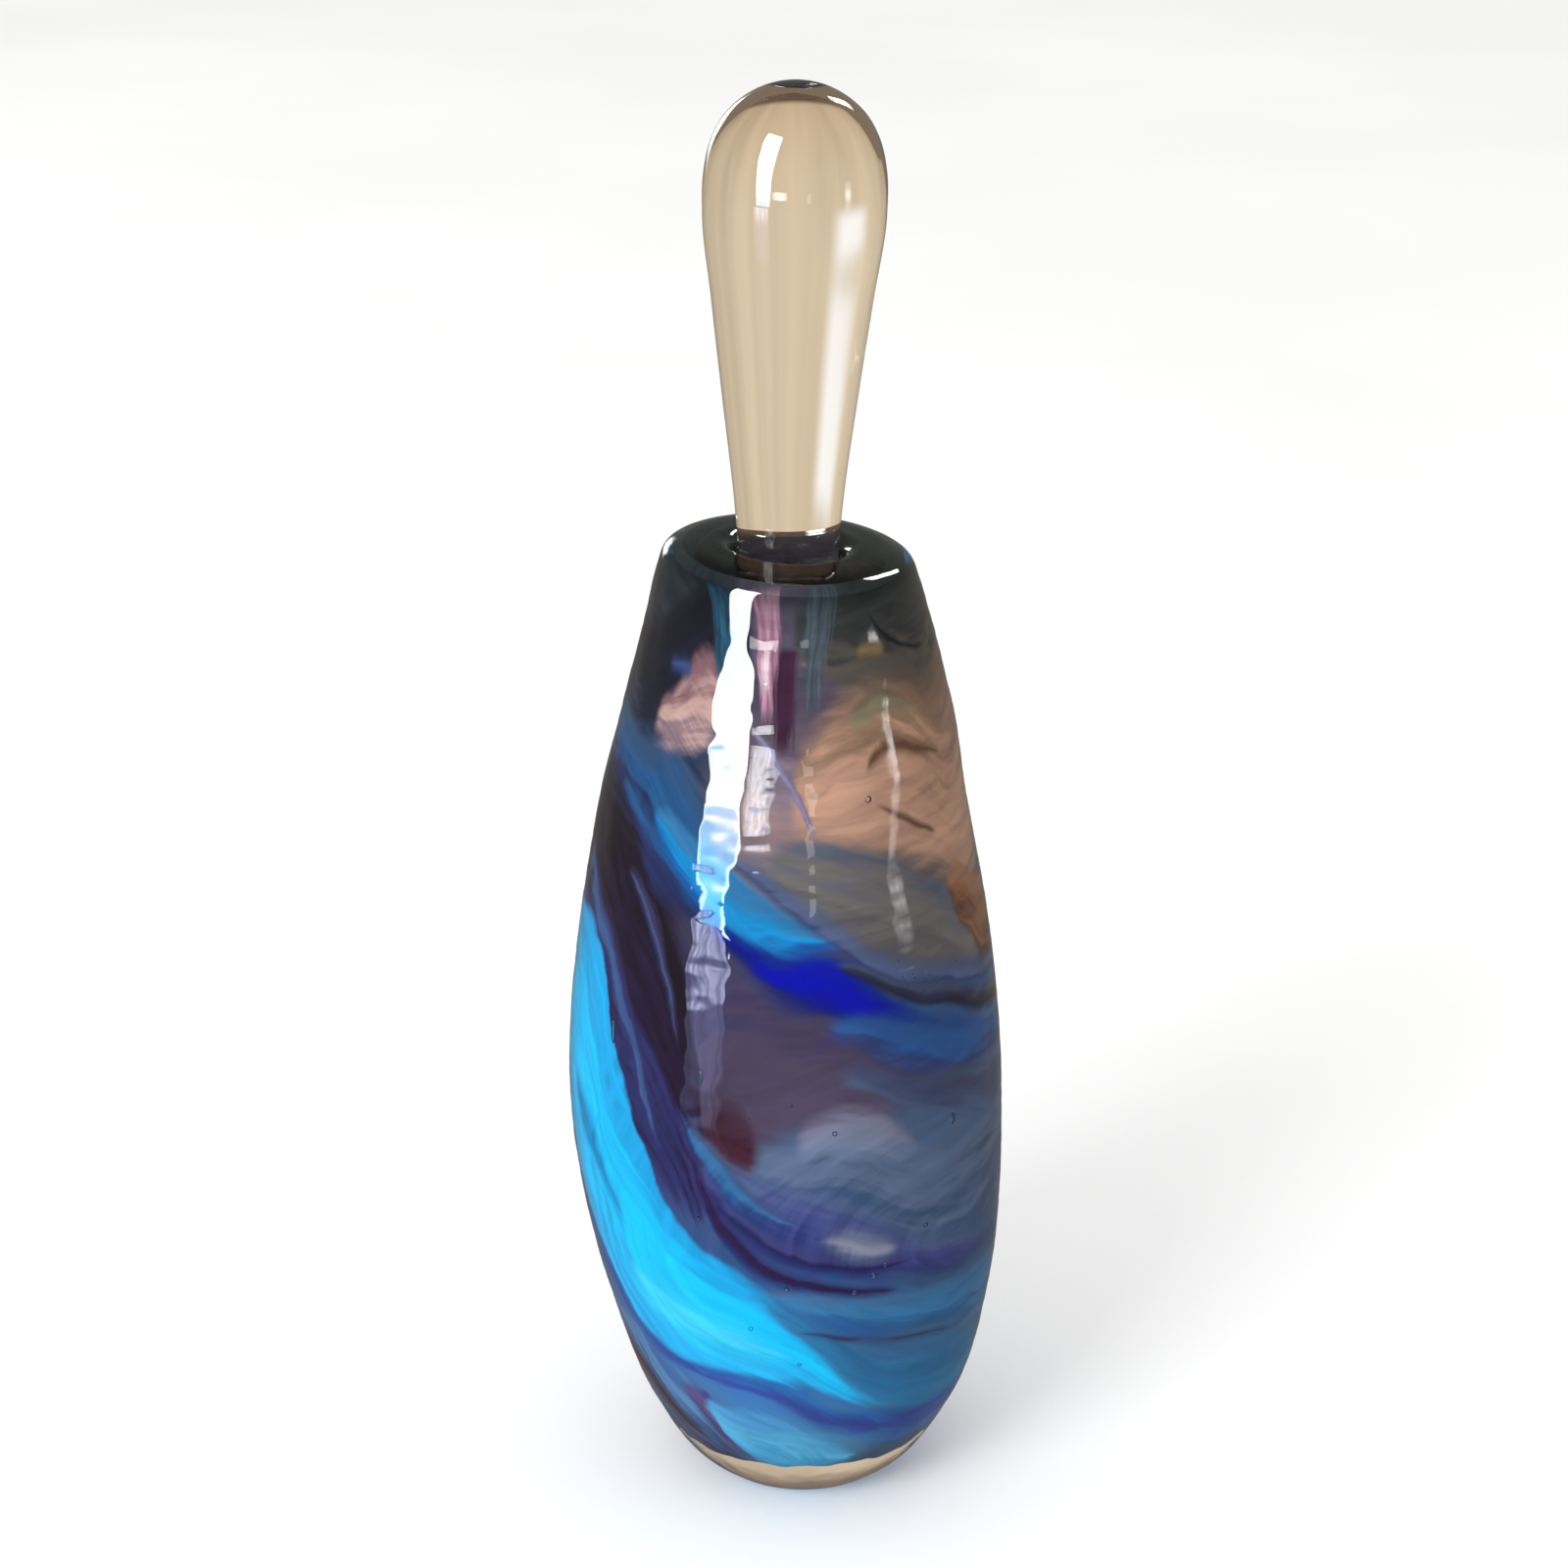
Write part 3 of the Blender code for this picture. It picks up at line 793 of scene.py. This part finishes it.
# Columns run up the neck: knots are height, degrees round from the front and half width in degrees.
COLUMNS = (
    ("teal_column",
     ((104, -30, 1), (109, -33, 5), (115, -40, 8), (122, -44, 8)),
     ((26, 46, 68), (44, 92, 116)), 5.0),
    # The rose column and the rose glint are painted highlight: a pale rose glint down the front of the
    # neck.
    ("rose_highlight_column",
     ((105, -10, 1), (110, -11, 5), (115, -12, 8), (122, -13, 9)),
     ((124, 84, 110), (196, 146, 164)), 5.0),
    ("rose_glint",
     ((108, -13, 1), (111, -13, 3), (113, -13, 3), (115, -13, 1)),
     ((200, 170, 182), (226, 206, 212)), 2.0),
    ("aubergine_column",
     ((101, -4, 1), (105, -3, 5), (111, -2, 6), (115, 0, 1)),
     ((46, 24, 46), (66, 32, 56)), 5.0),
    ("slate_column",
     ((106, 12, 1), (111, 14, 6), (117, 16, 8), (122, 18, 8)),
     ((58, 64, 76), (86, 98, 106)), 6.0),
)


def stroke_group():
    """A node group: how far one stroke covers a point, and the point's level across the stroke."""
    tree = bpy.data.node_groups.new("stroke", "ShaderNodeTree")
    for name in ("Degrees", "Height", "Line", "Half", "Fibre", "Soft", "Seed", "From", "To"):
        tree.interface.new_socket(name, in_out="INPUT", socket_type="NodeSocketFloat")
    for name in ("Cover", "Level"):
        tree.interface.new_socket(name, in_out="OUTPUT", socket_type="NodeSocketFloat")
    graph = Graph(tree)
    given = tree.nodes.new("NodeGroupInput").outputs
    made = tree.nodes.new("NodeGroupOutput").inputs
    degrees = given["Degrees"]
    soft = given["Soft"]
    line = graph.math("MULTIPLY", given["Line"], HIGHEST)
    half = graph.math("MULTIPLY", given["Half"], WIDEST)
    off = graph.math("SUBTRACT", given["Height"], line)
    lie = graph.math("DIVIDE", off, graph.math("MAXIMUM", half, NARROWEST))
    along = graph.math("MULTIPLY", degrees, 0.03)
    strand = graph.combine(along, graph.math("MULTIPLY", off, 0.42), given["Seed"])
    grain = graph.noise(strand, 1.0, 3.0, 0.5, 0.2)
    both = graph.math("MULTIPLY_ADD", given["Fibre"], 0.6, graph.math("MULTIPLY", grain, 0.9))
    ragged = graph.math("MULTIPLY", graph.math("SUBTRACT", both, 0.75), graph.math("MULTIPLY", soft, 2.2))
    edge = graph.math("ADD", graph.math("SUBTRACT", half, graph.math("ABSOLUTE", off)), ragged)
    cover = graph.fade(edge, graph.math("MULTIPLY", soft, -0.7), graph.math("MULTIPLY", soft, 0.8))
    start = graph.fade(degrees, given["From"], graph.math("ADD", given["From"], END_FADE))
    end = graph.fade(degrees, graph.math("SUBTRACT", given["To"], END_FADE), given["To"], 1.0, 0.0)
    cover = graph.math("MULTIPLY", cover, graph.math("MULTIPLY", start, end))
    shift = graph.fade(both, 0.35, 1.15, -0.6, 0.6, smooth=False)
    graph.plug(made["Cover"], cover)
    graph.plug(made["Level"], graph.math("ADD", graph.fade(lie, -1, 1, smooth=False), shift))
    return tree


def share_of_turn(degrees):
    """Degrees round from the front, -180 to 180, as a share from 0 to 1."""
    return (degrees + 180) / 360


def painted_bands(graph, bands, colour, degrees, height, fibre, stroke, first):
    """Lays each band's colours over the colour so far."""
    round_share = graph.fade(degrees, -180, 180, smooth=False)
    for index, (name, knots, colours, soft) in enumerate(bands):
        lines = [(share_of_turn(a), h / HIGHEST) for a, h, w in knots]
        widths = [(share_of_turn(a), w / WIDEST) for a, h, w in knots]
        in_turn = graph.math("MULTIPLY_ADD", colour, ORDER_TIE, round_share)
        line = graph.curve(in_turn, lines)
        half = graph.curve(in_turn, widths)
        node = graph.tree.nodes.new("ShaderNodeGroup")
        node.node_tree = stroke
        given = {
            "Degrees": degrees,
            "Height": height,
            "Line": line,
            "Half": half,
            "Fibre": fibre,
            "Soft": soft,
            "Seed": (first + index) * 3.7,
            "From": float(knots[0][0]),
            "To": float(knots[-1][0]),
        }
        for socket, value in given.items():
            graph.plug(node.inputs[socket], value)
        low, core, high = colours
        paint = graph.ramp(node.outputs["Level"], ((0.08, low), (0.5, core), (0.95, high)))
        colour = graph.mix(node.outputs["Cover"], colour, paint)
    return colour


def painted_columns(graph, colour, degrees, height):
    """Lays the columns that run up the neck over the colour so far."""
    height_share = graph.math("DIVIDE", height, HIGHEST)
    for index, (name, knots, colours, soft) in enumerate(COLUMNS):
        lines = [(h / HIGHEST, share_of_turn(a)) for h, a, w in knots]
        widths = [(h / HIGHEST, w / WIDEST) for h, a, w in knots]
        line = graph.fade(graph.curve(height_share, lines), 0, 1, -180, 180, smooth=False)
        half = graph.math("MULTIPLY", graph.curve(height_share, widths), WIDEST)
        off = graph.math("SUBTRACT", degrees, line)
        across = graph.math("MULTIPLY", off, 0.22)
        strand = graph.combine(across, graph.math("MULTIPLY", height, 0.05), index * 5.1)
        grain = graph.noise(strand, 1.6, 4.0, 0.6)
        edge = graph.math("SUBTRACT", half, graph.math("ABSOLUTE", off))
        edge = graph.math("ADD", edge, graph.fade(grain, 0.2, 0.8, -4, 4, smooth=False))
        cover = graph.fade(edge, -soft * 0.5, soft * 0.5)
        cover = graph.math("MULTIPLY", cover, graph.fade(height, knots[0][0], knots[0][0] + 3))
        cover = graph.math("MULTIPLY", cover, graph.fade(height, knots[-1][0] - 1, knots[-1][0], 1.0, 0.0))
        paint = graph.ramp(grain, ((0.3, colours[0]), (0.7, colours[1])))
        colour = graph.mix(cover, colour, paint)
    return colour


def painted_swirl():
    """Dense colour glass, painted by strokes that follow the swirl round the bottle."""
    material, shader = empty_material("swirl_glass")
    graph = Graph(material.node_tree)
    place, (x, y, z) = object_place(graph)
    wander = graph.math("SUBTRACT", graph.noise(graph.combine(x, y, z), 0.055, 2.0), 0.5)
    sway = graph.math("SUBTRACT", graph.noise(graph.combine(y, z, x), 0.11, 3.0), 0.5)
    height = graph.math("MULTIPLY_ADD", wander, WANDER, z)
    bow = graph.fade(z, *PAINT_BOW)
    middle = graph.math("ADD", bow, graph.fade(z, *PAINT_NECK))
    ahead = graph.math("MULTIPLY", y, -1.0)
    aside = graph.math("SUBTRACT", x, middle)
    sway = graph.math("MULTIPLY", sway, SWAY)
    front = graph.math("MULTIPLY_ADD", graph.math("ARCTAN2", aside, ahead), math.degrees(1), sway)
    aside = graph.math("SUBTRACT", middle, x)
    back = graph.math("MULTIPLY_ADD", graph.math("ARCTAN2", aside, y), math.degrees(1), sway)
    front = graph.math("MULTIPLY", front, graph.fade(z, NECK_FROM, NECK_TO, 1.0, NECK_SPREAD))
    round_share = graph.fade(front, -180, 180, smooth=False)
    height_share = graph.math("DIVIDE", height, HIGHEST)

    guides = [
        graph.curve(round_share, [(share_of_turn(a), h / HIGHEST) for a, h, w in knots])
        for name, knots, colours, soft in BANDS
        if name in FIBRE_GUIDES
    ]
    lean = graph.math("SUBTRACT", guides[0], guides[1])
    flow = graph.math("MULTIPLY_ADD", lean, graph.fade(height, 30, 80), guides[1])
    flow = graph.math("SUBTRACT", height_share, flow)
    strand = graph.combine(graph.math("MULTIPLY", front, 0.018), graph.math("MULTIPLY", flow, 62.0))
    fibre = graph.noise(strand, 1.0, 5.0, 0.58, 0.25)

    level = graph.math("ADD", height_share, graph.fade(fibre, 0.2, 0.8, -0.05, 0.05, smooth=False))
    middle_ground = graph.ramp(level, MIDDLE_GROUND)
    colour = graph.mix(graph.fade(front, -50, -16), graph.ramp(level, LEFT_GROUND), middle_ground)
    colour = graph.mix(graph.fade(front, 14, 46), colour, graph.ramp(level, RIGHT_GROUND))
    behind = graph.fade(graph.math("ABSOLUTE", back), 10, 60, 1.0, 0.0)
    colour = graph.mix(behind, colour, middle_ground)
    stroke = stroke_group()
    colour = painted_bands(graph, BACK_BANDS, colour, back, height, fibre, stroke, len(BANDS))
    colour = painted_bands(graph, BANDS, colour, front, height, fibre, stroke, 0)
    colour = painted_columns(graph, colour, front, height)

    depth = graph.fade(fibre, 0.28, 0.72, 0.78, 1.22, smooth=False)
    colour = graph.mix(1.0, colour, graph.combine(depth, depth, depth), "MULTIPLY")
    graph.plug(shader.inputs["Base Color"], colour)
    shader.inputs["Roughness"].default_value = 0.45
    shader.inputs["Specular IOR Level"].default_value = 0.0
    return material


def floor_material():
    """A plain pale floor."""
    material, shader = empty_material("pale_floor")
    graph = Graph(material.node_tree)
    place = graph.tree.nodes.new("ShaderNodeTexCoord").outputs["Object"]
    mottle = graph.noise(place, 6.0, 3.0)
    graph.plug(shader.inputs["Base Color"], graph.ramp(mottle, FLOOR_TONES))
    shader.inputs["Roughness"].default_value = 0.85
    shader.inputs["Specular IOR Level"].default_value = 0.1
    return material


# Surroundings, in metres

CAMERA_DISTANCE = 0.450
CAMERA_ELEVATION = math.radians(21.943)
CAMERA_AIM = Vector((-0.00242, 0.0, 0.0924))
CAMERA_LENS = 84.97
CAMERA_SENSOR = 36.0
FLOOR_SIZE = 8.0
FLOOR_GAP = 0.0001
FLOOR_TONES = ((0.3, (236, 235, 233)), (0.7, (240, 239, 237)))

# The room's tones from straight down to straight up, seen through the glass and mirrored in it
WALL_TONES = (
    (0.0, (116, 96, 78)), (0.060, (100, 80, 60)), (0.085, (206, 182, 150)),
    (0.28, (214, 193, 162)), (0.50, (226, 208, 180)), (0.70, (222, 200, 170)),
    (0.80, (156, 130, 104)), (1.0, (124, 100, 76)),
)
MIRRORED_TONES = (
    (0.0, (96, 92, 88)), (0.40, (120, 116, 108)), (0.54, (126, 128, 122)), (0.66, (110, 114, 108)),
    (1.0, (86, 90, 90)),
)
# The tone that the glass shows where it turns light back inside itself
UNDER_TONE = (128, 108, 88)
# A bright opening in the walls: where its sides (radians), its foot and its top (rise) fade
OPENING_LEFT = (-0.78, -0.56)
OPENING_RIGHT = (-0.26, -0.42)
OPENING_FOOT = (-0.23, -0.16)
OPENING_TOP = (-0.02, -0.12)
OPENING_LIGHT = (1.05, 1.03, 1.0, 1.0)
# What lights the floor and the colours, and what the camera sees
DIFFUSE_LIGHT = (0.97, 0.98, 1.0, 1.0)
BACKDROP = (1.0, 1.0, 1.0, 1.0)

# A window light's tones from its foot to its top, and its border's
WINDOW_TONES = (
    (0.0, (104, 160, 205)), (0.05, (122, 180, 224)), (0.10, (156, 204, 236)),
    (0.14, (252, 254, 255)),
)
PANE_TONES = WINDOW_TONES[-2:]
CURTAIN_TONES = (
    (0.0, (60, 60, 60)), (0.35, (190, 190, 190)), (0.65, (255, 255, 255)), (1.0, (60, 60, 60)),
)
SILL_TONES = (
    (0.0, (0, 0, 0)), (0.45, (30, 30, 44)), (0.55, (68, 70, 96)), (0.82, (88, 92, 124)),
    (0.90, (190, 196, 232)),
)
BORDER_TONE = (225, 248, 255)
WHITE = (1.0, 1.0, 1.0)
# Lights: name, degrees round from the front, degrees up, distance, (width, height), watts, colour,
# and whether the glass mirrors it or it lights the scene
LIGHTS = (
    ("window_fill", -36, 30, 1.2, (0.46, 0.72), 9.0, (0.96, 0.98, 1.0), False),
    ("window", -40, 25, 1.0, (0.36, 1.15), 36.0, WHITE, True),
    ("pane", -18.5, 3.2, 1.0, (0.34, 0.10), 1.9, WHITE, True),
    ("sill", -43, -22, 1.0, (0.34, 0.60), 12.0, WHITE, True),
    ("doorway", 18, 1, 1.0, (0.10, 0.12), 0.10, (1.0, 0.96, 0.92), True),
    ("curtain", 70, -2, 1.0, (0.20, 0.26), 2.2, (1.0, 0.98, 0.97), True),
    ("garden", -158, 6, 1.0, (0.40, 0.36), 6.0, (0.95, 1.0, 0.93), True),
    ("lamp", 150, 35, 1.0, (0.12, 0.30), 2.0, (1.0, 0.97, 0.92), True),
    ("overhead", 0, 89, 2.0, (2.0, 2.0), 6.0, WHITE, False),
)
# Lights with tones: their tones, and how strong the border, the streaks and the soft sides are
CURTAINED = {
    "window": (WINDOW_TONES, 0.9, 0.25, 0.0),
    "pane": (PANE_TONES, 0.0, 0.6, 0.6),
    "sill": (SILL_TONES, 0.0, 0.6, 0.3),
    "curtain": (CURTAIN_TONES, 0.0, 0.5, 1.0),
    "garden": (CURTAIN_TONES, 0.0, 0.5, 1.0),
}


def camera():
    """The camera in front of the bottle, a little above it and aimed at its middle."""
    data = bpy.data.cameras.new("camera")
    data.lens = CAMERA_LENS
    data.sensor_width = CAMERA_SENSOR
    data.clip_start = 0.01
    obj = bpy.data.objects.new("camera", data)
    back = Vector((0.0, -math.cos(CAMERA_ELEVATION), math.sin(CAMERA_ELEVATION)))
    obj.location = CAMERA_AIM + back * CAMERA_DISTANCE
    obj.rotation_euler = (math.pi / 2 - CAMERA_ELEVATION, 0.0, 0.0)
    bpy.context.scene.collection.objects.link(obj)
    bpy.context.scene.camera = obj


def floor():
    mesh = bpy.data.meshes.new("floor")
    half = FLOOR_SIZE / 2
    corners = [(-half, -half, 0), (half, -half, 0), (half, half, 0), (-half, half, 0)]
    mesh.from_pydata(corners, [], [(0, 1, 2, 3)])
    mesh.materials.append(floor_material())
    obj = bpy.data.objects.new("floor", mesh)
    obj.location.z = CASING_LOW.z - FLOOR_GAP
    obj.visible_transmission = False
    obj.visible_glossy = False
    bpy.context.scene.collection.objects.link(obj)


def area_light(name, azimuth, elevation, distance, size, power, colour, mirrored):
    """A soft rectangular light that faces the bottle's middle, to light it or only to be mirrored in it."""
    data = bpy.data.lights.new(name, "AREA")
    data.shape = "RECTANGLE"
    data.size, data.size_y = size
    data.energy = power
    data.color = colour
    obj = bpy.data.objects.new(name, data)
    a = math.radians(azimuth)
    e = math.radians(elevation)
    away = Vector((math.sin(a) * math.cos(e), -math.cos(a) * math.cos(e), math.sin(e)))
    obj.location = CAMERA_AIM + away * distance
    obj.rotation_euler = away.to_track_quat("Z", "Y").to_euler()
    obj.visible_camera = False
    obj.visible_glossy = mirrored
    obj.visible_diffuse = not mirrored
    obj.visible_transmission = not mirrored
    bpy.context.scene.collection.objects.link(obj)
    return data


def curtained(light, tones, border, streaks, soft):
    """Gives a light tones from foot to top, a bright low border, upright streaks and soft sides."""
    light.use_nodes = True
    graph = Graph(light.node_tree)
    place = light.node_tree.nodes.new("ShaderNodeNewGeometry").outputs["Parametric"]
    split = light.node_tree.nodes.new("ShaderNodeSeparateXYZ")
    graph.plug(split.inputs[0], place)
    across, up = split.outputs[:2]
    colour = graph.ramp(up, tones)
    from_middle = graph.math("ABSOLUTE", graph.math("SUBTRACT", across, 0.5))
    edge = graph.math("MULTIPLY", graph.fade(from_middle, 0.36, 0.46), border)
    edge = graph.math("MULTIPLY", edge, graph.fade(up, 0.18, 0.12))
    colour = graph.mix(edge, colour, (*linear(BORDER_TONE), 1.0))
    stretched = graph.combine(graph.math("MULTIPLY", across, 9.0), graph.math("MULTIPLY", up, 1.5))
    fold = graph.noise(stretched, 1.0, 2.0)
    level = graph.fade(fold, 0.35, 0.65, 1.0 - streaks, 1.0, smooth=False)
    level = graph.math("MULTIPLY", level, graph.fade(from_middle, 0.5, 0.2, 1.0 - soft, 1.0))
    colour = graph.mix(1.0, colour, graph.combine(level, level, level), "MULTIPLY")
    graph.plug(light.node_tree.nodes["Emission"].inputs["Color"], colour)


def room():
    """White for the floor and the colours; a warm room for what the clear glass bends and mirrors."""
    world = bpy.data.worlds.new("room")
    world.use_nodes = True
    bpy.context.scene.world = world
    graph = Graph(world.node_tree)
    backdrop = world.node_tree.nodes["Background"]
    split = world.node_tree.nodes.new("ShaderNodeSeparateXYZ")
    graph.plug(split.inputs[0], world.node_tree.nodes.new("ShaderNodeTexCoord").outputs["Generated"])
    path = world.node_tree.nodes.new("ShaderNodeLightPath").outputs
    x, y, rise = split.outputs
    bearing = graph.math("ARCTAN2", x, y)
    stretched = graph.combine(graph.math("MULTIPLY", bearing, 2.2), graph.math("MULTIPLY", rise, 0.5))
    folds = graph.noise(stretched, 1.6, 3.0)
    walls = graph.ramp(graph.fade(rise, -1, 1, smooth=False), WALL_TONES)
    level = graph.fade(folds, 0.3, 0.7, 0.86, 1.10, smooth=False)
    walls = graph.mix(1.0, walls, graph.combine(level, level, level), "MULTIPLY")
    level = graph.fade(bearing, -0.8, 1.0, 1.06, 0.90, smooth=False)
    walls = graph.mix(1.0, walls, graph.combine(level, level, level), "MULTIPLY")
    wide = graph.math("MULTIPLY", graph.fade(bearing, *OPENING_LEFT), graph.fade(bearing, *OPENING_RIGHT))
    tall = graph.math("MULTIPLY", graph.fade(rise, *OPENING_FOOT), graph.fade(rise, *OPENING_TOP))
    walls = graph.mix(graph.math("MULTIPLY", wide, tall), walls, OPENING_LIGHT)
    entered = graph.math("GREATER_THAN", path["Transmission Depth"], 0.5)
    turned_back = graph.math("GREATER_THAN", path["Glossy Depth"], 0.5)
    under = graph.math("MULTIPLY", entered, turned_back)
    walls = graph.mix(under, walls, (*linear(UNDER_TONE), 1.0))
    mirrored = graph.ramp(graph.fade(rise, -1, 1, smooth=False), MIRRORED_TONES)
    outside = graph.math("LESS_THAN", path["Transmission Depth"], 0.5)
    walls = graph.mix(graph.math("MULTIPLY", path["Is Reflection Ray"], outside), walls, mirrored)
    lit = graph.math("GREATER_THAN", path["Diffuse Depth"], 0.5)
    colour = graph.mix(lit, walls, DIFFUSE_LIGHT)
    colour = graph.mix(path["Is Camera Ray"], colour, BACKDROP)
    graph.plug(backdrop.inputs["Color"], colour)
    backdrop.inputs["Strength"].default_value = 1.0


def main():
    bpy.context.scene.view_settings.view_transform = "Standard"
    camera()
    floor()
    room()
    for light in LIGHTS:
        data = area_light(*light)
        if light[0] in CURTAINED:
            curtained(data, *CURTAINED[light[0]])
    bottle_glass = clear_glass("clear_glass", BOTTLE_TINT, LIP_SMOKE_AND_SHADE, SEAT_ROUGHNESS)
    stopper_glass = clear_glass("stopper_glass", STOPPER_ROOM_TINT, STOPPER_ROOM_TINT, PLUG_ROUGHNESS)
    swirl = painted_swirl()
    clear_bottle(bottle_glass)
    for index, name in enumerate(STREAKS):
        colour_ribbon(index, name, swirl)
    stopper(stopper_glass)


main()
